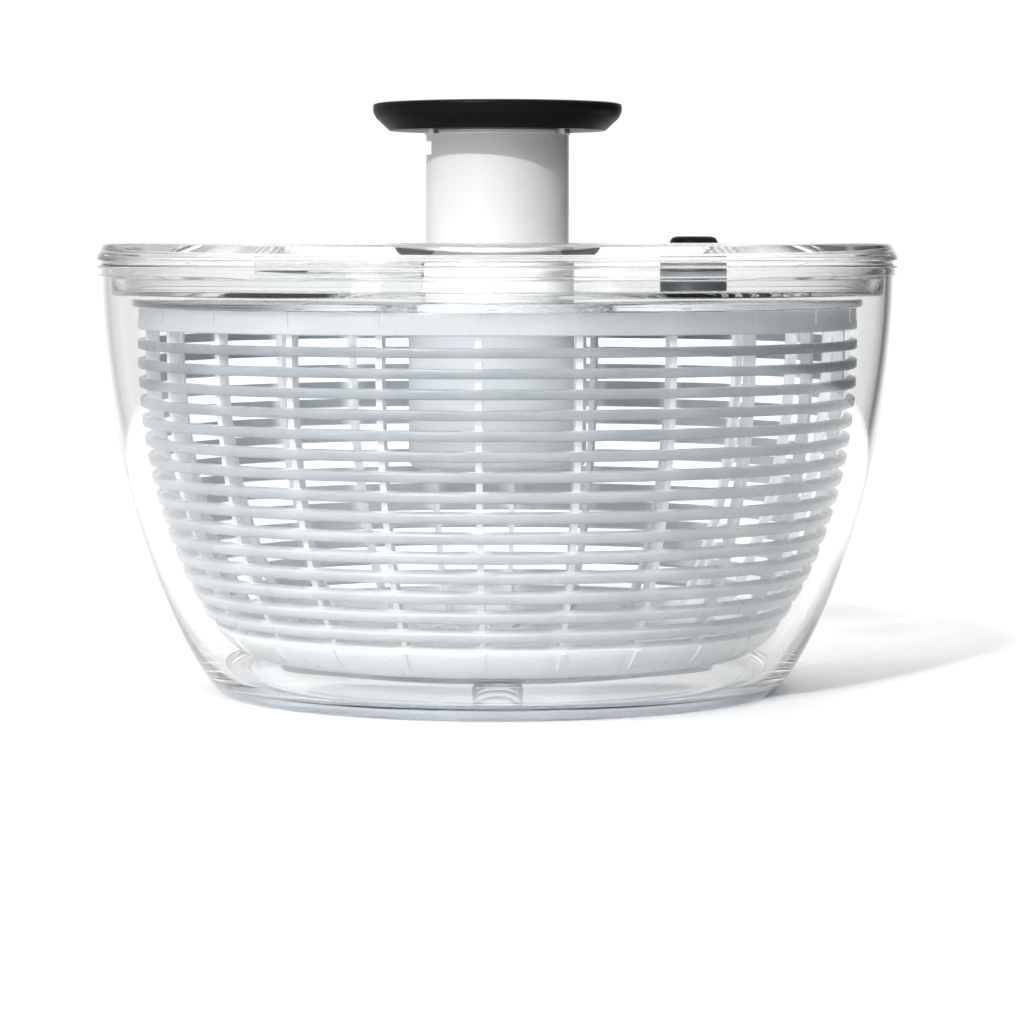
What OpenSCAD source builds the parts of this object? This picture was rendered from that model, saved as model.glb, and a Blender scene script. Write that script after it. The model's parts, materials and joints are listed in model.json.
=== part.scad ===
// Pump-type salad spinner: clear bowl and lid, lattice basket, pump drive, brake and travel lock.
// Millimetres. The origin is the centre of the base on the table, +Z is up and the front is -Y.

/* [Bowl] */
// Radius of the bowl where it meets the table
foot_r = 92; // [91:0.5:93]
// Outer radius of the bowl's wall under the rim
bowl_r = 131.3; // [131:0.1:131.6]
// Outer radius of the bowl's rim and of the lid's flange
flange_r = 132.2; // [132:0.1:133]
// Height of the bowl's rim above the table
rim_z = 141; // [140.8:0.1:141.2]
// Height of the non-slip ring
ring_h = 3.7; // [3.2:0.1:4]

/* [Basket] */
// Radius of the basket's flat bottom
basket_foot_r = 85; // [83:0.5:86]
// Outer radius of the basket near its top
basket_r = 118.9; // [118:0.1:119]
// Height of the underside of the basket's bottom
basket_z = 13; // [12.8:0.1:13.2]
// Number of upright ribs
rib_count = 24; // [12:4:28]
// Number of hoops
hoop_count = 15; // [12:1:15]
// Height of the middle of the highest hoop
hoop_top = 115; // [114:0.5:116]
// Distance from one hoop to the next
hoop_pitch = 6.3; // [6:0.1:6.4]

/* [Lid] */
// Height of the lid's highest edge
lid_top = 148; // [147.5:0.1:148.5]
// Height of the lid's deck
deck_z = 145.2; // [145:0.1:145.4]

/* [Pump] */
// Outer radius of the pump tube
tube_r = 23.7; // [23.4:0.1:23.7]
// Stroke of the pump
stroke = 38; // [30:1:38]
// Largest radius of the knob
knob_r = 41.1; // [40:0.1:43]
// Height of the knob's top with the pump up
knob_top = 194; // [193.5:0.1:195]
// Height that the twisted bar rises in one turn
lead = 30; // [26:1:40]

/* [Brake] */
// Distance of the brake button from the pump's axis
brake_x = 65; // [60:1:75]
// Radius of the brake button at the deck
brake_r = 8.4; // [8:0.1:8.4]

/* [Lock] */
// Width of the lock slots in the pump tube
slot_w = 19; // [18.6:0.1:20]
// Height of the lock slots
slot_h = 4.5; // [4:0.1:5]

/* [Hidden] */
$fn = 96;

// Heights on the pump's axis, from the bottom of the drive up
floor_z = 5.5;
lip_z = 137.5;
cup_z = 73.5;
carrier_z = 79.5;
guide_z = 86;
guide_floor_z = 88;
washer_top = 88.6;
collar_top = 90.6;
retainer_z = 121.5;
disc_hub_z = 123.9;
disc_z = 127.2;
disc_top = 129.8;
base_z = 131;
base_top = 133;
deck_low = deck_z - 2;
knob_low = 185;
spring_top = 182.9;

// Radii round the pump's axis
post_r = 3;
guide_in = tube_r + 0.35;
guide_out = 25.3;
cup_in = 27.9;
cup_out = 29.5;
crest_r = 22.5;
stem_out = 9;
stem_in = 7;
knob_low_r = 35.7;
knob_seat_r = 35;
fit_gap = 0.05;

// The twisted bar
bar_w = 10;
bar_t = 3.4;
bar_top = 138;
nut_z = 129;
nut_top = 136;
nut_gap = 0.45;
slice_mm = 1;

// Screw circles
stem_screw_r = 11.6;
knob_screw_r = 30;
cup_screw_r = 31.8;

// Lock
slider_z = 139.6;
slider_h = 3.2;
slider_w = 17.6;
tongue_x = -24.6;
slider_end = -80;
pad_x = [-78, -63];
lock_open = [-79.5, -58.5];
slot_z = [139, 139 + stroke];

// Brake
pad_r = 6.4;
plunger_r = 6.3;
button_top = 150.2;
skirt_z = 136.2;

// Angle of the first rib, just left of the front
rib_turn = 267.2;
rib_step = 360 / rib_count;

// Radius at height z of a rounded wall that climbs from (r0, z0) to (r1, z1).
// a rounds the foot of the wall, and b its shoulder.
function wall_r(z, z0, z1, r0, r1, a, b) =
    r0 + (r1 - r0) * pow(1 - pow(1 - min(1, (z - z0) / (z1 - z0)), a), 1 / b);

function bowl_out(z) = wall_r(z, 0, 138, foot_r, bowl_r, 1.8, 1.3);
function bowl_in(z) = wall_r(z, floor_z, 138, foot_r - 2, bowl_r - 3, 1.8, 1.3);
function basket_out(z) = wall_r(z, basket_z, 115, basket_foot_r, basket_r, 2.1, 1.35);

// Heights from low to high, closer together near the low end
function heights(low, high, n) = [for (i = [0:n]) low + (high - low) * pow(i / n, 1.7)];

function backwards(list) = [for (i = [len(list) - 1:-1:0]) list[i]];

// Points of a circle of radius wire_r across a coil, at turn angle a and height z
function coil_ring(coil_r, wire_r, a, z, sides) =
    [for (k = [0:sides - 1])
        let (r = coil_r + wire_r * cos(360 * k / sides))
        [r * cos(a), r * sin(a), z + wire_r * sin(360 * k / sides)]];

module coil(coil_r, wire_r, low, high, turns, sides, per_turn) {
    steps = turns * per_turn;
    rise = high - low - 2 * wire_r;
    rings = [for (i = [0:steps])
        coil_ring(coil_r, wire_r, 360 * i / per_turn, low + wire_r + rise * i / steps, sides)];
    points = [for (ring = rings) each ring];
    sides_faces = [for (i = [0:steps - 1], k = [0:sides - 1])
        let (n = (k + 1) % sides)
        [i * sides + k, (i + 1) * sides + k, (i + 1) * sides + n, i * sides + n]];
    first = [for (k = [0:sides - 1]) k];
    last = [for (k = [sides - 1:-1:0]) steps * sides + k];
    polyhedron(points, concat(sides_faces, [first, last]), convexity = 10);
}

module ring(r_in, r_out, low, high) {
    translate([0, 0, low])
        difference() {
            cylinder(h = high - low, r = r_out);
            translate([0, 0, -1])
                cylinder(h = high - low + 2, r = r_in);
        }
}

module around(count, r, turn = 0) {
    for (i = [0:count - 1])
        rotate([0, 0, turn + 360 * i / count])
            translate([r, 0, 0])
                children();
}

// Pan-head screw with its head below and its shank up
module screw(head_r, head_h, shank_r, shank_h, seat_z) {
    translate([0, 0, seat_z - head_h])
        cylinder(h = head_h, r = head_r);
    translate([0, 0, seat_z])
        cylinder(h = shank_h, r = shank_r);
}

module outer_bowl() {
    rise = heights(ring_h, lip_z, 16);
    dip = heights(floor_z, rim_z - 0.8, 16);
    outer = [for (z = rise) [bowl_out(z), z]];
    inner = [for (z = backwards(dip)) [bowl_in(z), z]];
    lip = [[flange_r - 0.4, lip_z], [flange_r, lip_z + 0.5], [flange_r, rim_z - 0.8],
        [flange_r - 0.8, rim_z], [bowl_r - 2.4, rim_z]];
    post = [[8, floor_z], [8, 8.5], [post_r, 8.5], [post_r, 12.4], [post_r - 0.8, 13], [0, 13]];
    color("aliceblue", 0.3)
        rotate_extrude()
            polygon(concat([[0, 1.2], [foot_r - 8, 1.2], [foot_r - 8, ring_h]], outer, lip, inner, post));
}

module non_slip_ring() {
    outer = [for (i = [0:5]) [bowl_out(ring_h * i / 5), ring_h * i / 5]];
    color("lightsteelblue")
        rotate_extrude()
            polygon(concat([[foot_r - 8, 0]], outer, [[foot_r - 8, ring_h]]));
}

module pivot_bush() {
    color("white")
        difference() {
            union() {
                translate([0, 0, 8.5])
                    cylinder(h = 5.4, r = 6);
                translate([0, 0, 10])
                    cylinder(h = 0.95, r = 7.5);
            }
            translate([0, 0, 8])
                cylinder(h = 7, r = post_r + fit_gap);
        }
}

module basket_hub() {
    difference() {
        translate([0, 0, 8.9])
            cylinder(h = 7.6, r = 9.2);
        translate([0, 0, 8])
            cylinder(h = 6, r = 6 + fit_gap);
        translate([0, 0, 8])
            cylinder(h = 3, r = 7.6);
    }
}

module basket_bottom() {
    translate([0, 0, basket_z])
        linear_extrude(2.2)
            difference() {
                circle(r = 80.6);
                circle(r = 8.5);
                for (i = [0:2 * rib_count - 1])
                    rotate(rib_turn + (i + 0.5) * rib_step / 2)
                        translate([58, -1.2])
                            square([19, 2.4]);
                for (i = [0:rib_count - 1])
                    rotate(rib_turn + (i + 0.5) * rib_step)
                        translate([30, -1.2])
                            square([22, 2.4]);
            }
}

// Unbroken wall between the bottom and the lowest hoop
module basket_lower_band() {
    top = 22.4;
    bottom_in = basket_z + 2.2;
    outer = [for (i = [0:5]) let (z = basket_z + (top - basket_z) * pow(i / 5, 1.5)) [basket_out(z), z]];
    inner = [for (i = [4:-1:0]) let (z = bottom_in + (top - bottom_in) * i / 4) [basket_out(z) - 3, z]];
    rotate_extrude()
        polygon(concat([[80, basket_z]], outer, inner, [[80, bottom_in]]));
}

module hoop(z) {
    r = basket_out(z);
    rotate_extrude()
        polygon([[r - 2.8, z - 1.5], [r - 0.7, z - 1.5], [r, z - 0.8], [r, z + 0.8],
            [r - 0.7, z + 1.5], [r - 2.8, z + 1.5]]);
}

module rib() {
    rise = heights(basket_z + 1, 115, 9);
    outer = [for (z = rise) [basket_out(z) - 2.2, z]];
    inner = [for (z = backwards(rise)) [basket_out(z) - 5.6, z]];
    rotate([90, 0, 0])
        linear_extrude(2.1, center = true)
            polygon(concat(outer, [[basket_r - 2.2, 126.4], [basket_r - 5.6, 126.4]], inner));
}

module basket() {
    color("lightblue", 0.8) {
        basket_hub();
        basket_bottom();
        basket_lower_band();
        for (i = [0:hoop_count - 1])
            hoop(hoop_top - i * hoop_pitch);
        for (i = [0:rib_count - 1])
            rotate([0, 0, rib_turn + i * rib_step])
                rib();
        rotate_extrude()
            polygon([[basket_r - 2.4, 120], [basket_r - 0.5, 120], [basket_r, 120.5], [basket_r, 122.6],
                [basket_r - 0.3, 123], [basket_r - 0.3, 126.6], [basket_r - 0.7, 127], [basket_r - 2.4, 127]]);
    }
}

module bush_clip() {
    color("silver")
        ring(6.1, 7.6, 8.9, 9.9);
}

module drive_disc() {
    color("aliceblue", 0.35) {
        rotate_extrude()
            polygon([[26.9, disc_hub_z], [34, disc_hub_z], [34, 127.8], [116, 127.8], [116.6, disc_z],
                [120.4, disc_z], [120.8, 127.6], [120.8, 129.4], [120.4, disc_top], [26.9, disc_top]]);
        for (i = [0:rib_count / 2 - 1])
            rotate([0, 0, rib_turn + 2 + i * 2 * rib_step])
                translate([112.6, -1.5, 123])
                    cube([3.4, 3, 5]);
    }
}

module hub_cup() {
    color("white")
        difference() {
            rotate_extrude()
                polygon([[0, cup_z], [cup_out - 2, cup_z], [cup_out, cup_z + 2], [cup_out, 121.9],
                    [34, 121.9], [34, disc_hub_z], [cup_in, disc_hub_z], [cup_in, cup_z + 2], [0, cup_z + 2]]);
            around(4, cup_screw_r, 45)
                translate([0, 0, 120])
                    cylinder(h = 5, r = 1.1, $fn = 24);
        }
}

module cup_screws() {
    color("silver")
        around(4, cup_screw_r, 45)
            screw(1.9, 1.5, 1.1, 2, 121.9, $fn = 24);
}

module disc_bearing() {
    color("gold")
        ring(guide_out + fit_gap, 26.9, disc_hub_z, 129.5);
}

// Ring of 36 saw teeth that point inwards, pressed into the cup
module ratchet_ring() {
    teeth = 36;
    step = 360 / teeth;
    root_r = crest_r + 2;
    color("silver")
        translate([0, 0, 79])
            linear_extrude(6.4)
                difference() {
                    circle(r = cup_in);
                    polygon([for (i = [0:teeth - 1], side = [0, 1])
                        let (r = side == 0 ? crest_r : root_r, a = i * step + side * step * 0.2)
                        [r * cos(a), r * sin(a)]]);
                }
}

module disc_retainer() {
    color("silver")
        ring(guide_out, 27.4, retainer_z, retainer_z + 2.2);
}

module lid_cover() {
    color("aliceblue", 0.3) {
        difference() {
            rotate_extrude()
                polygon([[guide_out + 0.1, deck_z], [123.6, deck_z], [125.6, 147], [127.2, lid_top],
                    [129.3, lid_top], [130.4, 147.3], [131.5, 145.6], [132.1, 143.7], [flange_r, 143],
                    [flange_r - 0.4, 142.3], [130.8, 142.3], [130.8, rim_z], [127.6, rim_z], [127.6, 137],
                    [127.2, 131.4], [126.8, base_z], [124.9, base_z], [124.5, 131.4], [124.5, deck_low],
                    [guide_out + 0.1, deck_low]]);
            translate([brake_x, 0, 140])
                cylinder(h = 8, r = brake_r + 0.2);
            translate([lock_open[0], -8.2, 140])
                cube([lock_open[1] - lock_open[0], 16.4, 8]);
        }
        for (side = [-1, 1])
            translate([-76, side * 10 - 0.8, 138.6])
                cube([46, 1.6, deck_low - 138.4]);
    }
}

module lid_base() {
    color("aliceblue", 0.3) {
        difference() {
            rotate_extrude()
                polygon([[guide_out + 0.1, base_z], [124, base_z], [124.4, 131.4], [124.4, 137], [122.9, 137],
                    [122.9, base_top], [guide_out + 0.1, base_top]]);
            translate([brake_x, 0, 130])
                cylinder(h = 4, r = pad_r + 0.5);
        }
        for (side = [-1, 1])
            translate([-76, side * 5.8 - 0.7, base_z + 1])
                cube([46, 1.4, slider_z - base_z - 1.1]);
    }
}

module pump_guide() {
    color("white")
        difference() {
            union() {
                translate([0, 0, guide_z])
                    cylinder(h = 144.8 - guide_z, r = guide_out);
                translate([0, 0, base_top])
                    cylinder(h = 1.2, r = 27.4);
            }
            translate([0, 0, guide_floor_z])
                cylinder(h = 60, r = guide_in);
            translate([0, 0, guide_z - 1])
                cylinder(h = 4, r = 4 + fit_gap);
            translate([-30, -slider_w / 2 - 0.5, slider_z - 0.4])
                cube([15, slider_w + 1, slider_h + 0.8]);
        }
}

module pump_collar() {
    hole_r = tube_r + fit_gap;
    color("white")
        rotate_extrude()
            polygon([[hole_r, 144.8], [guide_out, 144.8], [guide_out, deck_z], [27.3, deck_z], [27.3, 145.9],
                [26.8, 146.4], [hole_r + 0.7, 146.4], [hole_r + 0.7, 145.6], [hole_r, 145.6]]);
}

module thrust_washer() {
    color("silver")
        ring(4 + fit_gap, 8, guide_floor_z, washer_top);
}

module pump_spring() {
    color("silver")
        coil(15.5, 0.8, guide_floor_z + 0.1, spring_top, 14, 6, 16);
}

module pump_tube() {
    color("white")
        difference() {
            union() {
                translate([0, 0, 127])
                    cylinder(h = knob_low - 127, r = tube_r);
                for (z = [127, 143.8])
                    translate([0, 0, z])
                        cylinder(h = 0.9, r = guide_in - fit_gap);
                translate([0, 0, knob_low - 1.3])
                    cylinder(h = 1.3, r = tube_r + 0.4);
            }
            translate([0, 0, 126])
                cylinder(h = 60, r = tube_r - 2);
            for (z = slot_z)
                translate([-26, -slot_w / 2, z])
                    cube([7, slot_w, slot_h]);
        }
}

module knob_base() {
    color("black")
        difference() {
            union() {
                rotate_extrude()
                    polygon([[0, knob_low], [19.8, knob_low], [19.8, 182.4], [21.65, 182.4], [21.65, knob_low],
                        [knob_seat_r, knob_low], [knob_seat_r, 187], [0, 187]]);
                around(3, stem_screw_r, 30)
                    translate([0, 0, 186])
                        cylinder(h = 5, r = 3);
            }
            around(3, stem_screw_r, 30)
                translate([0, 0, 184])
                    cylinder(h = 5.5, r = 1.2, $fn = 24);
            around(4, knob_screw_r, 45)
                translate([0, 0, 184])
                    cylinder(h = 4, r = 1.3, $fn = 24);
        }
}

module knob_cap() {
    taper = [[knob_low_r, knob_low], [knob_r - 1.3, 188.6], [knob_r - 0.6, 189.5], [knob_r - 0.15, 190.3],
        [knob_r, 191]];
    edge = [for (i = [0:3]) let (a = 90 * i / 3)
        [knob_r - 1.3 + 1.3 * cos(a), knob_top - 1.3 + 1.3 * sin(a)]];
    color("black")
        difference() {
            union() {
                rotate_extrude()
                    polygon(concat(taper, edge, [[0, knob_top], [0, 191.8], [38.6, 191.8], [38.6, 190.4],
                        [35.05, 187.4], [35.05, knob_low]]));
                around(4, knob_screw_r, 45)
                    translate([0, 0, 187])
                        cylinder(h = 6, r = 3);
            }
            around(4, knob_screw_r, 45)
                translate([0, 0, 186])
                    cylinder(h = 4.5, r = 1.2, $fn = 24);
        }
}

module knob_screws() {
    color("silver")
        around(4, knob_screw_r, 45)
            screw(2.4, 1.5, 1.2, 5, knob_low, $fn = 24);
}

module drive_stem() {
    color("gainsboro")
        difference() {
            union() {
                translate([0, 0, nut_top])
                    cylinder(h = knob_low - nut_top, r = stem_out);
                translate([0, 0, 183])
                    cylinder(h = 2, r = 16.8);
            }
            translate([0, 0, nut_top - 1])
                cylinder(h = 60, r = stem_in);
            around(3, stem_screw_r, 30)
                translate([0, 0, 182])
                    cylinder(h = 4, r = 1.2, $fn = 24);
        }
}

module stem_screws() {
    color("silver")
        around(3, stem_screw_r, 30)
            screw(2.1, 1.5, 1.2, 6, 183, $fn = 24);
}

// Flat bar with chamfered edges that turns as it climbs from low to high, in phase with the drive
module twisted_bar(low, high, grow) {
    w = bar_w / 2 + grow;
    t = bar_t / 2 + grow;
    translate([0, 0, low])
        rotate([0, 0, 360 * low / lead])
            linear_extrude(high - low, twist = -360 * (high - low) / lead,
                slices = ceil((high - low) / slice_mm), $fn = 8)
                polygon([[w, -t / 2], [w, t / 2], [w - t / 2, t], [t / 2 - w, t], [-w, t / 2], [-w, -t / 2],
                    [t / 2 - w, -t], [w - t / 2, -t]]);
}

module drive_nut() {
    color("white")
        difference() {
            union() {
                translate([0, 0, nut_z])
                    cylinder(h = nut_top - nut_z, r = stem_out);
                translate([0, 0, nut_top])
                    cylinder(h = 3, r = stem_in);
            }
            twisted_bar(nut_z - 0.6, nut_top + 3.6, nut_gap);
        }
}

module drive_spindle() {
    color("silver") {
        twisted_bar(collar_top - 0.2, bar_top, 0);
        difference() {
            union() {
                translate([0, 0, carrier_z])
                    cylinder(h = washer_top - carrier_z, r = 4);
                translate([0, 0, washer_top])
                    cylinder(h = collar_top - washer_top, r = 8);
            }
            translate([0, 0, carrier_z - 1])
                cylinder(h = 8, r = 1.5, $fn = 24);
        }
    }
}

// Hub with two long curved arms, each ending in a pawl that reaches for the ratchet teeth
module pawl_carrier() {
    arm_r = 18;
    color("white")
        translate([0, 0, carrier_z])
            linear_extrude(5.6)
                difference() {
                    union() {
                        circle(r = 9);
                        for (turn = [0, 180])
                            rotate(turn) {
                                translate([7, -2])
                                    square([arm_r - 7.4, 4]);
                                intersection() {
                                    difference() {
                                        circle(r = arm_r + 0.8);
                                        circle(r = arm_r - 0.8);
                                    }
                                    polygon([[0, 0], [30, -2], [30, 30], [-30, 30], [-30, 12]]);
                                }
                                rotate(150)
                                    polygon([[arm_r - 0.6, 1.5], [arm_r - 0.6, -3], [22.2, 1.4]]);
                            }
                    }
                    circle(r = 4);
                }
}

module spindle_washer() {
    color("silver")
        ring(1.5, 5.5, carrier_z - 0.5, carrier_z);
}

module spindle_screw() {
    color("silver")
        screw(3, 2, 1.5, 7.5, carrier_z - 0.5);
}

module brake_guide() {
    color("gainsboro", 0.6)
        translate([brake_x, 0, 0])
            ring(9.8, 11.1, base_top, deck_low - 0.1);
}

module brake_button() {
    color("black")
        translate([brake_x, 0, 0])
            rotate_extrude()
                polygon([[8.7, skirt_z], [9.4, skirt_z], [9.4, deck_low - 0.2], [brake_r, deck_low - 0.2],
                    [brake_r, 147], [brake_r - 0.3, 148.6], [brake_r - 1.1, 149.8], [brake_r - 2.2, button_top],
                    [0, button_top], [0, 145], [plunger_r, 145], [plunger_r, 141.5], [8.7, 141.5]]);
}

module brake_plunger() {
    color("gainsboro")
        translate([brake_x, 0, 134.6])
            cylinder(h = 10.4, r = plunger_r);
}

module brake_pad() {
    color("dimgray")
        translate([brake_x, 0, base_top])
            cylinder(h = 1.6, r = pad_r);
}

module brake_spring() {
    color("silver")
        translate([brake_x, 0, 0])
            coil(7.75, 0.5, base_top + 0.05, 141.45, 4, 6, 16);
}

module lock_frame() {
    color("gray")
        difference() {
            translate([-83, -11.5, deck_z])
                cube([27.5, 23, 1]);
            translate([lock_open[0], -8.2, deck_z - 1])
                cube([lock_open[1] - lock_open[0], 16.4, 3]);
        }
}

module lock_slider() {
    color("gainsboro")
        translate([slider_end, -slider_w / 2, slider_z])
            cube([tongue_x - slider_end, slider_w, slider_h]);
}

// Thumb pad with a row of grip ridges across it
module lock_thumb_pad() {
    color("dimgray")
        translate([pad_x[0], 0, slider_z + slider_h]) {
            translate([0, -7, 0])
                cube([pad_x[1] - pad_x[0], 14, 3.4]);
            for (i = [0:3])
                translate([2.2 + i * 3, -6, 3.2])
                    cube([1.6, 12, 1]);
        }
}

outer_bowl();
non_slip_ring();
pivot_bush();
basket();
bush_clip();
drive_disc();
hub_cup();
cup_screws();
disc_bearing();
ratchet_ring();
disc_retainer();
lid_cover();
lid_base();
pump_guide();
pump_collar();
thrust_washer();
pump_spring();
pump_tube();
knob_base();
knob_cap();
knob_screws();
drive_stem();
drive_nut();
stem_screws();
drive_spindle();
pawl_carrier();
spindle_washer();
spindle_screw();
brake_guide();
brake_button();
brake_plunger();
brake_pad();
brake_spring();
lock_frame();
lock_slider();
lock_thumb_pad();
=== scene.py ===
import json
import logging
import math
from dataclasses import dataclass, field
from enum import Enum

import bmesh
import bpy
import numpy as np
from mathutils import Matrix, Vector


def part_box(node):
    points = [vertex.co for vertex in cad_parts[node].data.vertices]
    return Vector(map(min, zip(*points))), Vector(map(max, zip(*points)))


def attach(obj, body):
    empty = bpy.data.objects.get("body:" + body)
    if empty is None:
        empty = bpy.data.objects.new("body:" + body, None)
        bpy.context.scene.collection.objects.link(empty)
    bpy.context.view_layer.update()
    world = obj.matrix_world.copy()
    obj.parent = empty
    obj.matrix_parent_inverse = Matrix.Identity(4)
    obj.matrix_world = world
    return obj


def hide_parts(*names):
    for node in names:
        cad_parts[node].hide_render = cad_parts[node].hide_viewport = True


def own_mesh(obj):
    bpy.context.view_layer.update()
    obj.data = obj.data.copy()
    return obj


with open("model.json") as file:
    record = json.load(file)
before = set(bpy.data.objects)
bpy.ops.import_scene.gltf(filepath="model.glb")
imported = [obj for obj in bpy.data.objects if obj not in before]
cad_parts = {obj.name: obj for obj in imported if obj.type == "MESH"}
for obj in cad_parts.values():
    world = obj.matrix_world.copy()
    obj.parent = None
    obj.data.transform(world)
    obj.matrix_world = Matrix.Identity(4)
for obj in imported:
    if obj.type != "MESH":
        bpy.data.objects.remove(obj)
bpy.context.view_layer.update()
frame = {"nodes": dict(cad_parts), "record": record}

MM = 0.001
# name of the mesh mark where a whiter colour is painted on as painted light
PAINTED_LIGHT = "painted_light"
MIX_SOCKETS = {"FLOAT": (2, 0), "RGBA": (6, 2)}
NOISE_SPAN = (0.3, 0.7)
TONE_SPAN = (0.35, 0.65)
STEPS_A_TURN = 40
END_SHARE, END_CLIMB = 0.06, 0.018
Array = np.ndarray
Colour = tuple[float, float, float]
log = logging.getLogger("salad_spinner")


class Edges(Enum):
    """How a surface's edges are shaded: the largest angle, in degrees, that still looks round."""

    ROUND = 50
    MOULDED = 34
    CRISP = 20


class Look(Enum):
    """The record's material slots."""

    CLEAR = "clear_plastic"
    BASKET = "basket_plastic"
    FROSTED = "frosted_plastic"
    SOFT_RING = "soft_ring"
    WHITE_GLOSS = "white_gloss"
    WHITE = "white_plastic"
    GREY = "grey_plastic"
    BLACK = "black_plastic"
    RUBBER = "brake_rubber"
    STEEL = "steel"


# ---------------------------------------------------------------- frame sizes


def mm_box(node: str) -> tuple[Array, Array]:
    """Lowest and highest corners of a CAD node, in millimetres.

    Args:
        node: the CAD node's name.

    Returns:
        The two corners as arrays of x, y and z.
    """
    low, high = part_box(node)
    return np.array(low) / MM, np.array(high) / MM


def body_holding(node: str) -> str:
    """Name of the body that a CAD node belongs to."""
    bodies = frame["record"]["behaviour"]["bodies"]
    return next(body for body, nodes in bodies.items() if node in nodes)


def slot_of(node: str) -> str:
    """Name of the record's material slot that a CAD node has."""
    return next(part["material_slot"] for part in frame["record"]["subparts"] if part["node"] == node)


# ---------------------------------------------------------------- surfaces


@dataclass
class Surface:
    """Points and faces of one or more closed surfaces, in millimetres."""

    points: Array
    quads: Array = field(default_factory=lambda: np.zeros((0, 4), int))
    tris: Array = field(default_factory=lambda: np.zeros((0, 3), int))

    def moved(self, x: float = 0, y: float = 0, z: float = 0) -> "Surface":
        """The same surface shifted by x, y and z."""
        return Surface(self.points + np.array([x, y, z]), self.quads, self.tris)

    def turned(self, degrees: float) -> "Surface":
        """The same surface turned about the upright axis by an angle in degrees."""
        a = math.radians(degrees)
        turn = np.array([[math.cos(a), math.sin(a), 0], [-math.sin(a), math.cos(a), 0], [0, 0, 1]])
        return Surface(self.points @ turn, self.quads, self.tris)


def joined(surfaces: list[Surface]) -> Surface:
    """One surface made of several separate ones.

    Args:
        surfaces: the surfaces to put together.

    Returns:
        A surface that holds all their points and faces.
    """
    starts = np.cumsum([0] + [len(s.points) for s in surfaces[:-1]])
    return Surface(
        np.concatenate([s.points for s in surfaces]),
        np.concatenate([s.quads + start for s, start in zip(surfaces, starts)]),
        np.concatenate([s.tris + start for s, start in zip(surfaces, starts)]),
    )


@dataclass(frozen=True)
class Outline:
    """A closed curve in plan: its points lie at base + normal times the distance asked for."""

    base: Array
    normal: Array

    def ring(self, reach: Array) -> Array:
        """Points of the curve at each distance in reach, as an array of rings of x and y."""
        return self.base[None] + self.normal[None] * reach[:, None, None]


def circle(points: int = 160) -> Outline:
    """Circle about the upright axis: reach is the radius."""
    a = np.linspace(0, 2 * np.pi, points, endpoint=False)
    return Outline(np.zeros((points, 2)), np.stack([np.cos(a), np.sin(a)], 1))


def round_rect(half_x: float, half_y: float, corner: float, arc_points: int = 7) -> Outline:
    """Rectangle with round corners: reach grows it on every side.

    Args:
        half_x: half of its width along X.
        half_y: half of its depth along Y.
        corner: radius of its corners.
        arc_points: points on each corner.

    Returns:
        The outline, whose reach of 0 has the sizes given.
    """
    quarter = np.linspace(0, np.pi / 2, arc_points)
    a = np.concatenate([quarter + k * np.pi / 2 for k in range(4)])
    normal = np.stack([np.cos(a), np.sin(a)], 1)
    side = np.repeat(np.array([[1, 1], [-1, 1], [-1, -1], [1, -1]]), arc_points, axis=0)
    centres = side * np.array([half_x - corner, half_y - corner])
    return Outline(centres + normal * corner, normal)


def filleted(corners: list[tuple[float, float, float]], closed: bool = True, step_deg: float = 18) -> Array:
    """Polyline whose corners are replaced by arcs that touch both sides.

    The arc's centre lies on the corner's bisector, at the radius over the sine of half its angle.

    Args:
        corners: reach, height and fillet radius of each corner.
        closed: whether the last corner joins the first.
        step_deg: largest turn from one point of an arc to the next.

    Returns:
        Array of reach and height.
    """
    count = len(corners)
    spots = np.array([c[:2] for c in corners], float)
    made = []
    for i, corner in enumerate(corners):
        here, radius = spots[i], corner[2]
        if radius <= 0 or (not closed and i in (0, count - 1)):
            made.append(here[None])
            continue
        back, ahead = spots[i - 1] - here, spots[(i + 1) % count] - here
        reach_back, reach_ahead = np.linalg.norm(back), np.linalg.norm(ahead)
        back, ahead = back / reach_back, ahead / reach_ahead
        half = math.acos(float(np.clip(back @ ahead, -1, 1))) / 2
        if half > 1.5:
            made.append(here[None])
            continue
        trim = min(radius / math.tan(half), 0.48 * reach_back, 0.48 * reach_ahead)
        bisector = (back + ahead) / np.linalg.norm(back + ahead)
        centre = here + bisector * trim / math.cos(half)
        first, last = here + back * trim - centre, here + ahead * trim - centre
        turn = math.pi - 2 * half
        steps = max(2, math.ceil(math.degrees(turn) / step_deg))
        share = np.linspace(0, 1, steps + 1)[:, None]
        made.append(centre + (np.sin((1 - share) * turn) * first + np.sin(share * turn) * last) / math.sin(turn))
    return np.concatenate(made)


def skinned(rings: Array, closed: bool = False) -> Surface:
    """Skin over rings of points, each ring closed in itself.

    Args:
        rings: the points, shaped (rings, around, 3).
        closed: True joins the last ring to the first, and False caps both ends with a fan to the ring's middle.

    Returns:
        The closed surface.
    """
    count, around = rings.shape[:2]
    i, j = np.meshgrid(np.arange(count if closed else count - 1), np.arange(around), indexing="ij")
    i, j = i.ravel(), j.ravel()
    above, beside = (i + 1) % count, (j + 1) % around
    quads = np.stack([i * around + j, i * around + beside, above * around + beside, above * around + j], 1)
    points = rings.reshape(-1, 3)
    if closed:
        return Surface(points, quads)
    j = np.arange(around)
    beside, top, middle = (j + 1) % around, (count - 1) * around, np.full(around, count * around)
    fans = [np.stack([beside, j, middle], 1), np.stack([top + j, top + beside, middle + 1], 1)]
    return Surface(np.concatenate([points, rings[[0, -1]].mean(1)]), quads, np.concatenate(fans))


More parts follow.
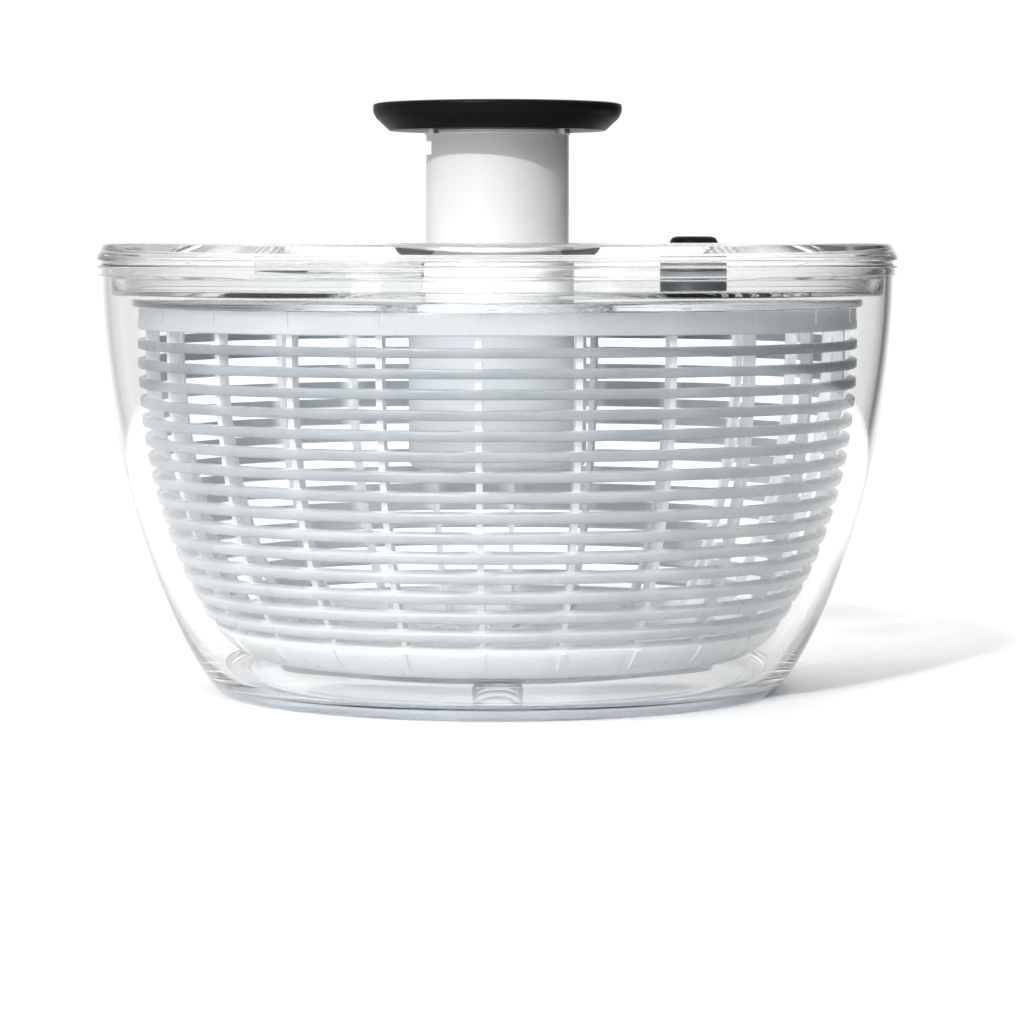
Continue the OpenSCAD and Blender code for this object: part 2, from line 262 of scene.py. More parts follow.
def carried(profile: Array, outline: Outline, closed: bool = True) -> Surface:
    """Carries a profile round an outline: each point of the profile gives one ring at its reach and height.

    Args:
        profile: array of reach and height.
        outline: the curve in plan that the profile follows.
        closed: True joins the last ring to the first, and False caps both ends with a fan.

    Returns:
        The closed surface.
    """
    plan = outline.ring(profile[:, 0])
    height = np.broadcast_to(profile[:, 1][:, None, None], plan[..., :1].shape)
    return skinned(np.concatenate([plan, height], 2), closed)


def turned_ring(r_in: float, r_out: float, low: float, high: float, edge: float = 0.2, points: int = 96) -> Surface:
    """Ring about the upright axis, with its four edges rounded."""
    corners = [(r_in, low, edge), (r_out, low, edge), (r_out, high, edge), (r_in, high, edge)]
    return carried(filleted(corners, step_deg=30), circle(points))


def turned_stack(steps: list[tuple[float, float, float]], points: int = 64) -> Surface:
    """Solid of revolution with closed ends: each step is a reach, a height and a fillet radius."""
    return carried(filleted(steps, closed=False, step_deg=24), circle(points), closed=False)


def rounded_block(low: Array, high: Array, corner: float, edge: float) -> Surface:
    """Block with round corners in plan and a quarter-round edge at its top and bottom.

    Args:
        low: its lowest corner.
        high: its highest corner.
        corner: radius of the upright edges.
        edge: radius of the top and bottom edges.

    Returns:
        The closed surface.
    """
    centre, half = (low + high) / 2, (high - low) / 2
    outline = round_rect(half[0], half[1], corner)
    bottom, top = -half[2], half[2]
    inset = -min(corner, half[0], half[1]) * 0.98
    profile = filleted(
        [(inset, bottom, 0), (0, bottom, edge), (0, top, edge), (inset, top, 0)], closed=False, step_deg=22
    )
    return carried(profile, outline, closed=False).moved(*centre)


def helix_tube(coil_r: float, wire_r: float, low: float, high: float, turns: float, sides: int = 12) -> Surface:
    """Round wire wound into a spring whose end turns lie close together.

    The centre line is coil_r times the cosine and sine of the turn angle, and climbs by a smooth step, slow at
    both ends. Each ring lies in the plane of the axis and the radius.

    Args:
        coil_r: radius of the centre line.
        wire_r: radius of the wire.
        low: lowest point of the spring.
        high: highest point of the spring.
        turns: number of turns.
        sides: points round the wire.

    Returns:
        The closed surface.
    """
    share = np.linspace(0, 1, int(turns * STEPS_A_TURN) + 1)
    a = 2 * np.pi * turns * share
    climb = np.interp(share, [0, END_SHARE, 1 - END_SHARE, 1], [0, END_CLIMB, 1 - END_CLIMB, 1])
    z = low + wire_r + (high - low - 2 * wire_r) * climb
    round_wire = np.linspace(0, 2 * np.pi, sides, endpoint=False)
    r = coil_r + wire_r * np.cos(round_wire)[None]
    height = z[:, None] + wire_r * np.sin(round_wire)[None]
    return skinned(np.stack([r * np.cos(a)[:, None], r * np.sin(a)[:, None], height], 2))


def lattice(points: Array, filled: Array) -> Surface:
    """Skin of the filled cells of a grid that wraps round in its last direction.

    A face stands wherever a filled cell meets an empty one or the grid's edge.

    Args:
        points: grid corners, shaped (along + 1, deep + 1, round, 3).
        filled: which cells are solid, shaped (along, deep, round).

    Returns:
        The closed surface, with only the points that its faces use.
    """
    along, deep, around = filled.shape
    index = np.arange((along + 1) * (deep + 1) * around).reshape(along + 1, deep + 1, around)
    after = np.roll(index, -1, axis=2)
    padded_a = np.pad(filled, ((1, 1), (0, 0), (0, 0)))
    padded_d = np.pad(filled, ((0, 0), (1, 1), (0, 0)))
    faces = []
    for sign in (1, -1):
        step = padded_a[1:].astype(int) - padded_a[:-1].astype(int)
        a, d, t = np.nonzero(step == sign)
        square = np.stack([index[a, d, t], index[a, d + 1, t], after[a, d + 1, t], after[a, d, t]], 1)
        faces.append(square[:, ::sign])
        step = padded_d[:, 1:].astype(int) - padded_d[:, :-1].astype(int)
        a, d, t = np.nonzero(step == sign)
        square = np.stack([index[a, d, t], after[a, d, t], after[a + 1, d, t], index[a + 1, d, t]], 1)
        faces.append(square[:, ::sign])
        step = filled.astype(int) - np.roll(filled, 1, axis=2).astype(int)
        a, d, t = np.nonzero(step == sign)
        square = np.stack([index[a, d, t], index[a + 1, d, t], index[a + 1, d + 1, t], index[a, d + 1, t]], 1)
        faces.append(square[:, ::sign])
    quads = np.concatenate(faces)
    used, renumbered = np.unique(quads, return_inverse=True)
    return Surface(points.reshape(-1, 3)[used], renumbered.reshape(-1, 4))


# ---------------------------------------------------------------- Blender objects


def mesh_from(surface: Surface, name: str, edges: Edges) -> bpy.types.Mesh:
    """Blender mesh of a surface in metres, with its faces turned outwards and its sharp edges marked.

    Args:
        surface: the surface, in millimetres.
        name: the mesh's name.
        edges: how its edges are shaded.

    Returns:
        The new mesh.
    """
    mesh = bpy.data.meshes.new(name)
    mesh.from_pydata((surface.points * MM).tolist(), [], surface.quads.tolist() + surface.tris.tolist())
    work = bmesh.new()
    work.from_mesh(mesh)
    bmesh.ops.recalc_face_normals(work, faces=work.faces[:])
    work.to_mesh(mesh)
    work.free()
    mesh.polygons.foreach_set("use_smooth", np.ones(len(mesh.polygons), bool))
    mesh.set_sharp_from_angle(angle=math.radians(edges.value))
    return mesh


def piece(
    surface: Surface, name: str, node: str, finish: bpy.types.Material, edges: Edges = Edges.MOULDED
) -> bpy.types.Object:
    """Makes a piece that stands for a CAD node, rides on its body and takes the finish given.

    Args:
        surface: the piece's surface, in millimetres.
        name: the piece's name.
        node: the CAD node it stands for.
        finish: its material.
        edges: how its edges are shaded.

    Returns:
        The new object, at the origin.
    """
    made = bpy.data.objects.new(name, mesh_from(surface, name, edges))
    bpy.context.scene.collection.objects.link(made)
    made.data.materials.append(finish)
    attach(made, body_holding(node))
    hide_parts(node)
    log.info("%s: %d faces", name, len(made.data.polygons))
    return made


def cut(made: bpy.types.Object, cutter: Surface, edges: Edges = Edges.MOULDED) -> None:
    """Cuts a closed surface out of a piece and keeps the result as the piece's own mesh.

    Args:
        made: the piece.
        cutter: the closed surface to take away.
        edges: how the piece's edges are shaded afterwards.
    """
    tool = bpy.data.objects.new("cutter", mesh_from(cutter, "cutter", edges))
    bpy.context.scene.collection.objects.link(tool)
    carve = made.modifiers.new("cut", "BOOLEAN")
    carve.operation = "DIFFERENCE"
    carve.solver = "EXACT"
    carve.object = tool
    graph = bpy.context.evaluated_depsgraph_get()
    result = bpy.data.meshes.new_from_object(made.evaluated_get(graph))
    made.modifiers.clear()
    old, made.data = made.data, result
    bpy.data.meshes.remove(old)
    shape = tool.data
    bpy.data.objects.remove(tool)
    bpy.data.meshes.remove(shape)
    result.polygons.foreach_set("use_smooth", np.ones(len(result.polygons), bool))
    result.set_sharp_from_angle(angle=math.radians(edges.value))


# ---------------------------------------------------------------- finishes


class Wiring:
    """A node tree, with short ways to add its nodes and to join them."""

    def __init__(self, tree: bpy.types.NodeTree) -> None:
        """Takes the tree as it is."""
        self.tree = tree

    def plug(self, socket: bpy.types.NodeSocket, value: object) -> None:
        """Links an input socket to the output given, or sets it to the plain value given."""
        if isinstance(value, bpy.types.NodeSocket):
            self.tree.links.new(value, socket)
        else:
            socket.default_value = value

    def add(self, kind: str, **sockets: object) -> bpy.types.Node:
        """Adds a node and fills its input sockets: an underscore in a name stands for a space.

        Args:
            kind: the node's type, without its first word.
            **sockets: an output to link or a plain value for each socket named.

        Returns:
            The new node.
        """
        node = self.tree.nodes.new("ShaderNode" + kind)
        for name, value in sockets.items():
            self.plug(node.inputs[name.replace("_", " ")], value)
        return node

    def ranged(
        self, source: bpy.types.NodeSocket, span: tuple[float, float], to: tuple[float, float], smooth: bool = False
    ) -> bpy.types.NodeSocket:
        """Maps a span of the source onto another, with a straight or a smooth step.

        Args:
            source: the value to map.
            span: where the step starts and ends.
            to: the results there.
            smooth: whether the step starts and ends softly.

        Returns:
            The result's socket.
        """
        node = self.add("MapRange", Value=source, From_Min=span[0], From_Max=span[1], To_Min=to[0], To_Max=to[1])
        if smooth:
            node.interpolation_type = "SMOOTHSTEP"
        return node.outputs["Result"]

    def maths(self, operation: str, first: object, second: object) -> bpy.types.NodeSocket:
        """Joins two values by an operation such as ADD or MULTIPLY."""
        node = self.add("Math")
        node.operation = operation
        self.plug(node.inputs[0], first)
        self.plug(node.inputs[1], second)
        return node.outputs[0]

    def blend(self, kind: str, share: object, first: object, second: object) -> bpy.types.NodeSocket:
        """Blends two numbers, for FLOAT, or two colours, for RGBA: a share of 1 gives the second."""
        node = self.add("Mix")
        node.data_type = kind
        start, out = MIX_SOCKETS[kind]
        for place, value in ((0, share), (start, first), (start + 1, second)):
            self.plug(node.inputs[place], value)
        return node.outputs[out]


class NodeBench(Wiring):
    """A material's node tree and the few kinds of node that the finishes share."""

    def __init__(self, name: str) -> None:
        """Starts an empty material with one Principled shader and its output."""
        self.material = bpy.data.materials.new(name)
        self.material.use_nodes = True
        super().__init__(self.material.node_tree)
        self.tree.nodes.clear()
        self.shader = self.add("BsdfPrincipled")
        self.face = self.shader.outputs[0]
        self.output = self.add("OutputMaterial", Surface=self.face)

    def settings(self, **values: object) -> None:
        """Fills the Principled shader's own sockets: an underscore in a name stands for a space."""
        for name, value in values.items():
            self.plug(self.shader.inputs[name.replace("_", " ")], value)

    def noise(
        self, scale: float, detail: float = 3, stretch: tuple[float, float, float] = (1, 1, 1), rough: float = 0.5
    ) -> bpy.types.NodeSocket:
        """Noise on the piece's own coordinates.

        Args:
            scale: bumps per metre, roughly.
            detail: octaves.
            stretch: scale along each axis.
            rough: how strong the finer octaves are.

        Returns:
            The noise's factor socket.
        """
        place = self.add("TexCoord").outputs["Object"]
        mapped = self.add("Mapping", Vector=place, Scale=stretch).outputs["Vector"]
        return self.add("TexNoise", Vector=mapped, Scale=scale, Detail=detail, Roughness=rough).outputs["Fac"]

    def spread(self, source: bpy.types.NodeSocket, low: float, high: float) -> bpy.types.NodeSocket:
        """Maps a noise's middle range onto low to high."""
        return self.ranged(source, NOISE_SPAN, (low, high))

    def climb(self, source: bpy.types.NodeSocket, low: float, high: float) -> bpy.types.NodeSocket:
        """Painted shade by height: goes down over the tone's span between two heights, so the colour is darker higher
        up, with a little of the source's variation added.

        Args:
            source: a noise's factor.
            low: height in metres where it is at the span's end.
            high: height in metres where it is at the span's start.

        Returns:
            The sum's socket.
        """
        split = self.add("SeparateXYZ")
        self.plug(split.inputs[0], self.add("TexCoord").outputs["Object"])
        level = self.ranged(split.outputs["Z"], (low, high), TONE_SPAN[::-1])
        return self.maths("ADD", level, self.spread(source, -0.04, 0.04))

    def between(self, source: bpy.types.NodeSocket, first: Colour, second: Colour) -> bpy.types.NodeSocket:
        """Colour that goes from first to second as the source goes over the tone's span."""
        ramp = self.add("ValToRGB", Fac=source)
        for stop, place, colour in zip(ramp.color_ramp.elements, TONE_SPAN, (first, second)):
            stop.position = place
            stop.color = (*colour, 1)
        return ramp.outputs["Color"]

    def marked(self, source: bpy.types.NodeSocket, mark: str, colour: Colour) -> bpy.types.NodeSocket:
        """Blends a colour in where the mesh carries a mark.

        Args:
            source: the colour elsewhere.
            mark: name of the mesh's own attribute, from 0 to 1.
            colour: the colour where it is 1.

        Returns:
            The blended colour's socket.
        """
        share = self.add("Attribute")
        share.attribute_name = mark
        return self.blend("RGBA", share.outputs["Fac"], source, (*colour, 1))

    def bump(self, source: bpy.types.NodeSocket, strength: float, depth: float) -> None:
        """Gives the Principled shader a bump from a height.

        Args:
            source: the height.
            strength: how much of the bump shows.
            depth: height of the bump in metres.
        """
        node = self.add("Bump", Height=source, Strength=strength, Distance=depth)
        self.settings(Normal=node.outputs["Normal"])

    def cover(self, share: object, other: bpy.types.Node) -> None:
        """Mixes another shader over the face, by a share."""
        mix = self.add("MixShader")
        for place, value in enumerate((share, self.face, other.outputs[0])):
            self.plug(mix.inputs[place], value)
        self.face = mix.outputs[0]
        self.plug(self.output.inputs["Surface"], self.face)

    def glow_through(self, share: float, tint: Colour) -> None:
        """Lets a share of the light soak through the surface, in the tint's colour."""
        self.cover(share, self.add("BsdfTranslucent", Color=(*tint, 1)))

    def lamps_pass(self, tint: Colour) -> None:
        """Lets lamps light what is behind the surface, dimmed by a tint."""
        shadow = self.add("LightPath").outputs["Is Shadow Ray"]
        self.cover(shadow, self.add("BsdfTransparent", Color=(*tint, 1)))


@dataclass(frozen=True)
class ClearPlastic:
    """Polished clear plastic: real refraction, faint mould waves and a light haze from washing."""

    name: str
    tint: Colour = (0.994, 0.997, 0.998)
    lamp_tint: Colour = (0.88, 0.885, 0.89)
    ior: float = 1.5
    haze: float = 0.003
    waves: float = 0.0015

    def build(self) -> bpy.types.Material:
        """Makes the material."""
        bench = NodeBench(self.name)
        bench.settings(Base_Color=(*self.tint, 1), Transmission_Weight=1.0, IOR=self.ior, Specular_IOR_Level=0.5)
        wear = bench.noise(60, 4, (1, 1, 2.4), 0.6)
        bench.settings(Roughness=bench.spread(wear, 0.0, self.haze))
        bench.bump(bench.noise(14, 0), self.waves, 0.0003)
        bench.lamps_pass(self.lamp_tint)
        return bench.material


@dataclass(frozen=True)
class MilkyPlastic:
    """Translucent moulded plastic: light soaks in and comes out bluish white, under a satin gloss.

    It turns from the pale to the deep colour between two heights, with faint clouds: a painted shade, darker towards
    the top and paler towards the bottom. Where the mesh carries the painted-light mark, a whiter colour is painted
    on.
    """

    name: str
    pale: Colour
    deep: Colour
    glow: float
    roughness: float = 0.3
    clear: float = 0.0
    lamp_tint: Colour = (0.35, 0.37, 0.39)
    # painted shade: heights in metres over which the colour goes from pale below to deep above
    heights: tuple[float, float] | None = None
    # painted light: colour painted on where the mesh carries the mark
    painted_light: Colour | None = None

    def build(self) -> bpy.types.Material:
        """Makes the material."""
        bench = NodeBench(self.name)
        tone = bench.noise(45, 3, (1, 1, 1.6), 0.55)
        # painted shade: darker colour towards the top, paler towards the bottom
        if self.heights:
            tone = bench.climb(tone, *self.heights)
        colour = bench.between(tone, self.deep, self.pale)
        # painted light: whiter colour on the marked ribs and bands
        if self.painted_light:
            colour = bench.marked(colour, PAINTED_LIGHT, self.painted_light)
        bench.settings(Base_Color=colour)
        bench.settings(Transmission_Weight=self.clear, IOR=1.46, Coat_Weight=0.35, Coat_Roughness=0.16)
        wear = bench.noise(220, 3, (1, 1, 1), 0.6)
        bench.settings(Roughness=bench.spread(wear, self.roughness - 0.05, self.roughness + 0.08))
        bench.bump(bench.noise(900, 1), 0.08, 0.00006)
        if self.glow > 0:
            bench.glow_through(self.glow, self.pale)
        bench.lamps_pass(self.lamp_tint)
        return bench.material


@dataclass(frozen=True)
class MouldedPlastic:
    """Opaque moulded plastic: even colour with faint flow clouds, fine mould grain and rubbed patches."""

    name: str
    colour: Colour
    cloud: Colour
    roughness: float
    coat: float = 0.0
    coat_roughness: float = 0.2
    grain: float = 0.15
    soak: float = 0.0
    shine: float = 0.5

    def build(self) -> bpy.types.Material:
        """Makes the material."""
        bench = NodeBench(self.name)
        flow = bench.noise(26, 4, (1, 1, 0.7), 0.6)
        bench.settings(Base_Color=bench.between(flow, self.cloud, self.colour))
        bench.settings(Coat_Weight=self.coat, Coat_Roughness=self.coat_roughness)
        bench.settings(IOR=1.5, Specular_IOR_Level=self.shine)
        if self.soak > 0:
            bench.settings(Subsurface_Weight=self.soak, Subsurface_Radius=(1.0, 0.95, 0.9), Subsurface_Scale=0.002)
        rubbed = bench.noise(90, 4, (1, 1, 1), 0.65)
        bench.settings(Roughness=bench.spread(rubbed, self.roughness - 0.05, self.roughness + 0.06))
        bench.bump(bench.noise(2600, 2), self.grain, 0.00006)
        return bench.material


@dataclass(frozen=True)
class TurnedSteel:
    """Bare steel with fine marks that run round the piece."""

    name: str
    colour: Colour = (0.62, 0.62, 0.63)
    roughness: float = 0.28

    def build(self) -> bpy.types.Material:
        """Makes the material."""
        bench = NodeBench(self.name)
        marks = bench.noise(500, 3, (0.12, 0.12, 3), 0.6)
        shade = tuple(0.86 * c for c in self.colour)
        bench.settings(Base_Color=bench.between(marks, shade, self.colour), Metallic=1.0)
        bench.settings(Roughness=bench.spread(marks, self.roughness - 0.07, self.roughness + 0.1))
        bench.bump(marks, 0.08, 0.00003)
        return bench.material


def all_finishes() -> dict[str, bpy.types.Material]:
    """Makes every finish once.

    Returns:
        The materials by the name of their slot.
    """
    makers = {
        Look.CLEAR: ClearPlastic("clear plastic"),
        # painted shade on the basket: darker towards its top, paler towards its bottom; painted light: whiter colour
        # on its marked ribs and bands
        Look.BASKET: MilkyPlastic(
            "milky basket plastic", (0.71, 0.725, 0.735), (0.27, 0.305, 0.33), 0.24, lamp_tint=(0.6, 0.61, 0.62),
            heights=(0.015, 0.1), painted_light=(0.94, 0.95, 0.955),
        ),
        Look.FROSTED: MilkyPlastic(
            "frosted plastic", (0.86, 0.87, 0.88), (0.82, 0.835, 0.845), 0.5, 0.42, 0.0, (0.6, 0.61, 0.62)
        ),
        Look.SOFT_RING: MilkyPlastic(
            "soft ring rubber", (0.9, 0.935, 0.965), (0.85, 0.895, 0.94), 0.0, 0.12, 0.9, (0.78, 0.8, 0.82)
        ),
        Look.WHITE_GLOSS: MouldedPlastic(
            "white pump plastic", (0.68, 0.685, 0.68), (0.665, 0.67, 0.665), 0.36, 0.5, 0.14, 0.08, 0.1
        ),
        Look.WHITE: MouldedPlastic(
            "white works plastic", (0.84, 0.84, 0.83), (0.81, 0.81, 0.8), 0.45, 0.1, 0.3, 0.12
        ),
        Look.GREY: MouldedPlastic("grey plastic", (0.36, 0.37, 0.38), (0.33, 0.34, 0.35), 0.45, 0.1, 0.3),
        Look.BLACK: MouldedPlastic(
            "black plastic", (0.008, 0.007, 0.0065), (0.006, 0.0055, 0.005), 0.38, 0.0, shine=0.06
        ),
        Look.RUBBER: MouldedPlastic("brake rubber", (0.05, 0.05, 0.05), (0.04, 0.04, 0.04), 0.75, 0, 0.2, 0.4),
        Look.STEEL: TurnedSteel("turned steel"),
    }
    made = {look.value: maker.build() for look, maker in makers.items()}
    dark = MouldedPlastic("dark grey plastic", (0.042, 0.046, 0.052), (0.036, 0.04, 0.045), 0.4)
    made["brake_guide"] = dark.build()
    return made


# ---------------------------------------------------------------- sub-assemblies


@dataclass
class Assembly:
    """A group of pieces made with one set of finishes."""

    finishes: dict[str, bpy.types.Material]

    def add(self, surface: Surface, name: str, node: str, edges: Edges = Edges.MOULDED) -> bpy.types.Object:
        """Makes a piece in the finish of its CAD node's slot.

        Args:
            surface: the piece's surface, in millimetres.
            name: the piece's name.
            node: the CAD node it stands for.
            edges: how its edges are shaded.

        Returns:
            The new object.
        """
        return piece(surface, name, node, self.finishes[slot_of(node)], edges)


@dataclass
class Bowl(Assembly):
    """The clear bowl, with its rolled rim and centre post, and the soft ring it stands on."""

    foot_r: float = 92.0
    shoulder_r: float = 131.3
    shoulder_z: float = 138.0
    lip_z: float = 137.5
    wall: float = 3.0
    floor_z: float = 5.5
    sole_z: float = 1.2
    ring_inset: float = 8.0
    foot_round: float = 1.8
    shoulder_round: float = 1.3
    curve_points: int = 56

    def __post_init__(self) -> None:
        """Reads the rim's place and the ring's height from the frame."""
        self.rim_r, self.rim_z = mm_box("outer_bowl")[1][[0, 2]]
        self.ring_h = mm_box("non_slip_ring")[1][2]

    def wall_r(self, z: Array, low: float, inset: float) -> Array:
        """Radius of the wall: the foot's radius plus a share of the spread, by (1 - (1 - t)^a)^(1/b)."""
        t = np.clip((z - low) / (self.shoulder_z - low), 0, 1)
        spread = self.shoulder_r - self.foot_r + (2 - inset if inset else 0)
        start = self.foot_r - (2 if inset else 0)
        return start + spread * (1 - (1 - t) ** self.foot_round) ** (1 / self.shoulder_round)

    def heights(self, low: float, high: float) -> Array:
        """Heights along the wall, closer together near its foot."""
        return low + (high - low) * np.linspace(0, 1, self.curve_points) ** 1.8

    def shell(self) -> Surface:
        """The bowl's closed surface, from the middle of its underside round the rim to the top of its post."""
        outer_z = self.heights(self.ring_h, self.lip_z)
        inner_z = self.heights(self.floor_z, self.rim_z - 1.5)[::-1]
        outer = [(r, z, 0) for r, z in zip(self.wall_r(outer_z, 0, 0), outer_z)]
        inner = [(r, z, 0) for r, z in zip(self.wall_r(inner_z, self.floor_z, self.wall), inner_z)]
        lip = [
            (self.rim_r, self.lip_z, 0.5),
            (self.rim_r, self.rim_z, 1.0),
            (self.shoulder_r - self.wall, self.rim_z, 1.0),
        ]
        sole = [(0.5, self.sole_z, 0), (self.foot_r - self.ring_inset, self.sole_z, 0.3)]
        seat = [(self.foot_r - self.ring_inset, self.ring_h, 0.3)]
        post = [(8.3, self.floor_z, 1.5), (8, 8.5, 0.6), (3, 8.5, 0.4), (3, 13, 1.2), (0.3, 13, 0)]
        return turned_stack(sole + seat + outer + lip + inner + post, 224)

    def ring(self) -> Surface:
        """The soft ring's surface: it follows the bowl's outer wall and has a rounded sole."""
        z = np.linspace(0, self.ring_h - 0.06, 9)[1:]
        outer = [(r, h, 0) for r, h in zip(self.wall_r(z, 0, 0), z)]
        corners = [(self.foot_r - self.ring_inset, 0, 0.8), (self.foot_r, 0, 0.4), *outer]
        corners.append((self.foot_r - self.ring_inset, self.ring_h - 0.06, 0.2))
        return carried(filleted(corners), circle(224))

    def build(self) -> None:
        """Makes both pieces."""
        self.add(self.shell(), "clear_bowl", "outer_bowl")
        self.add(self.ring(), "soft_foot_ring", "non_slip_ring")


@dataclass
class Basket(Assembly):
    """The lattice basket: hoops, ribs, bands, slotted bottom and hub as one moulding."""

    foot_r: float = 85.0
    wall_r: float = 118.9
    wall_top: float = 115.0
    foot_round: float = 2.1
    shoulder_round: float = 1.35
    hoops: int = 15
    hoop_top: float = 115.0
    hoop_pitch: float = 6.3
    hoop_h: float = 3.0
    hoop_edge: float = 0.38
    ridge: float = 0.55
    ridge_end: float = 15.6
    emboss: float = 0.28
    ribs: int = 24
    rib_turn: float = 267.2
    rib_w: float = 2.1
    band_low: float = 120.0
    lower_band_top: float = 22.4
    # share of the painted light on the upper band
    band_light_share: float = 0.5
    hub_r: float = 9.0
    depths: tuple[float, ...] = (0.0, 2.2, 2.8, 5.6)

    def __post_init__(self) -> None:
        """Reads the heights of the basket's bottom and rim from the frame."""
        low, high = mm_box("basket")
        self.hub_low, self.rim_z = low[2], high[2]
        self.bottom_z = self.hub_low + 4.1

    def side_r(self, z: Array) -> Array:
        """Outer radius of the side at a height: foot radius plus a share of the spread, as on the bowl."""
        t = np.clip((z - self.bottom_z) / (self.wall_top - self.bottom_z), 0, 1)
        share = (1 - (1 - t) ** self.foot_round) ** (1 / self.shoulder_round)
        return self.foot_r + (self.wall_r - self.foot_r) * share

    def path(self) -> tuple[Array, list[str], Array, Array]:
        """The outer profile from the rim down the side and in along the bottom.

        Returns:
            The profile's points, what each stretch between two points is, how far each point's face is sunk into
            the wall, and how far the relief on it stands proud of that.
        """
        deep = self.emboss
        marks: list[tuple[float, float, str, float]] = [
            (self.rim_z, 0.5, "panel", 0.5),
            (self.rim_z - 0.35, deep, "panel", 0),
            (self.band_low + 3.0, deep, "panel", 0),
            (self.band_low + 2.6, deep, "frame", 0),
            (self.band_low + 0.4, deep, "frame", 0),
            (self.band_low, deep + 0.2, "gap", 0.3),
        ]
        for i in range(self.hoops):
            middle = self.hoop_top - i * self.hoop_pitch
            if i:
                marks.append((middle + self.hoop_pitch / 2, 0, "gap", 0))
            for share, sunk in ((0, 1), (0.05, 0.35), (0.12, 0), (0.5, 0), (0.88, 0), (0.95, 0.35), (1, 1)):
                z = middle + self.hoop_h * (0.5 - share)
                marks.append((z, self.hoop_edge * sunk, "hoop" if share < 1 else "gap", 0))
        top = self.lower_band_top
        marks.append((top + 0.15, 0.3, "ridge", 0.3))
        marks += [(z, 0, "ridge", -self.ridge) for z in (top - 0.3, top - 2.5, top - 4.5)]
        marks.append((self.ridge_end, 0, "low_band", -0.1))
        marks.append((self.bottom_z + 0.9, 0.0, "low_band", 0))
        marks.append((self.bottom_z + 0.3, 0.25, "low_band", 0))
        z = np.array([m[0] for m in marks])
        side = np.stack([self.side_r(z), z], 1)
        side[z > self.hoop_top + 2, 0] = self.wall_r
        floor_r = np.array([self.foot_r - 0.6, 82, 80, 77, 68, 58, 55, 52, 41, 30, 26, 18, self.hub_r])
        floor = np.stack([floor_r, np.full(len(floor_r), self.bottom_z)], 1)
        kinds = [m[2] for m in marks]
        kinds += ["low_band", "plate", "plate", "outer_slots", "outer_slots", "plate", "plate", "inner_slots"]
        kinds += ["inner_slots", "plate", "plate", "plate"]
        sunk = np.concatenate([[m[1] for m in marks], np.zeros(len(floor_r))])
        proud = np.concatenate([[m[3] for m in marks], np.zeros(len(floor_r))])
        return np.concatenate([side, floor]), kinds, sunk, proud

    def angles(self) -> tuple[Array, Array, Array, Array]:
        """Where the cells lie round the basket.

        Returns:
            The turn angle of each cell's start, which cells are ribs, and which are outer and inner slots.
        """
        pitch = 360 / self.ribs
        half = math.degrees(self.rib_w / 2 / (self.wall_r - 2))
        inside = np.array([-half, half, 2.65, 4.85, 5.8, 9.2, 10.15, 12.35])
        starts = (self.rib_turn + np.arange(self.ribs)[:, None] * pitch + inside[None]).ravel()
        rib = np.tile(np.arange(len(inside)) == 0, self.ribs)
        slot = np.tile(np.isin(np.arange(len(inside)), (2, 6)), self.ribs)
        inner_slot = np.tile(np.arange(len(inside)) == 4, self.ribs)
        return np.radians(starts), rib, slot, inner_slot

    def side(self) -> Surface:
        """The lattice, from cells along the profile, into the wall and round the basket.

        A corner lies at the profile's point, moved inwards along the profile's normal by its depth. The normal is
        the profile's tangent turned by a quarter.
        """
        path, kinds, sunk, proud = self.path()
        tangent = np.gradient(path, axis=0)
        tangent /= np.linalg.norm(tangent, axis=1)[:, None]
        inward = np.stack([tangent[:, 1], -tangent[:, 0]], 1)
        inward[np.array([k in ("panel", "frame") for k in kinds] + [False])] = (-1, 0)
        inward[path[:, 0] < self.foot_r - 1] = (0, 1)
        depths = np.array(self.depths)
        depth = np.concatenate([proud[:, None], np.where(depths[None] == 0, sunk[:, None], depths[None])], 1)
        flat = path[:, None] + inward[:, None] * depth[..., None]
        turn, rib, slot, inner_slot = self.angles()
        points = np.empty((*flat.shape[:2], len(turn), 3))
        points[..., 0] = flat[..., :1] * np.cos(turn)
        points[..., 1] = flat[..., :1] * np.sin(turn)
        points[..., 2] = flat[..., 1:]
        kind = np.array(kinds)[:, None, None]
        deep = np.arange(depth.shape[1] - 1)[None, :, None]
        rib, slot, inner_slot = (mask[None, None] for mask in (rib, slot, inner_slot))
        outer, face, back = deep == 0, deep == 1, deep == 2
        band = np.isin(kind, ("panel", "frame"))
        low_band = np.isin(kind, ("ridge", "low_band"))
        filled = outer & ((kind == "frame") | (np.isin(kind, ("panel", "ridge")) & rib))
        filled = filled | (face & (band | low_band | np.isin(kind, ("hoop", "plate"))))
        filled = filled | (back & (low_band | (kind == "hoop")))
        filled = filled | (face & (kind == "outer_slots") & ~slot) | (face & (kind == "inner_slots") & ~inner_slot)
        filled = filled | ((deep >= 2) & rib & (band | low_band | np.isin(kind, ("hoop", "gap"))))
        return lattice(points, filled)

